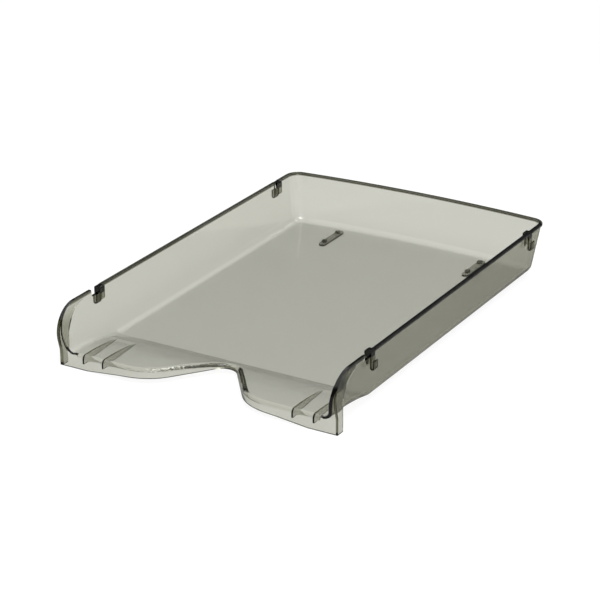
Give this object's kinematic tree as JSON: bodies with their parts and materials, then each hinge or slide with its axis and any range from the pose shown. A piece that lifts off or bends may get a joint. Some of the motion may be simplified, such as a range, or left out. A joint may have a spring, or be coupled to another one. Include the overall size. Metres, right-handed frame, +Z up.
{
  "type": "letter tray",
  "caption": "Clear smoke-grey letter tray, open at the front, with a finger notch in the front edge, lift-off stacking clips on the rim and feet under the rear.",
  "frame": {"origin": "on the desk under the middle of the tray's width and depth", "axes": "+Z up; -Y towards the open front with the finger notch; +X to the right of someone facing the front"},
  "size_m": [0.2596, 0.375, 0.0494],
  "materials": {
    "smoke_clear": "clear, polished, smoke grey with a slight olive cast",
    "smoke_fitting": "clear, polished, darker smoke grey because the walls are close together"
  },
  "bodies": {
    "tray": {"tray_shell": "smoke_clear", "left_rear_foot": "smoke_clear", "right_rear_foot": "smoke_clear"},
    "front_left_clip": {"front_left_stacking_clip": "smoke_fitting"},
    "front_right_clip": {"front_right_stacking_clip": "smoke_fitting"},
    "rear_left_clip": {"rear_left_stacking_clip": "smoke_fitting"},
    "rear_right_clip": {"rear_right_stacking_clip": "smoke_fitting"}
  },
  "joints": [
    {"name": "front_left_clip_lift", "type": "slide", "parent": "tray", "child": "front_left_clip", "axis": [0, 0, 1], "range_m": [0, 0.016]},
    {"name": "front_right_clip_lift", "type": "slide", "parent": "tray", "child": "front_right_clip", "axis": [0, 0, 1], "range_m": [0, 0.016]},
    {"name": "rear_left_clip_lift", "type": "slide", "parent": "tray", "child": "rear_left_clip", "axis": [0, 0, 1], "range_m": [0, 0.016]},
    {"name": "rear_right_clip_lift", "type": "slide", "parent": "tray", "child": "rear_right_clip", "axis": [0, 0, 1], "range_m": [0, 0.016]}
  ]
}
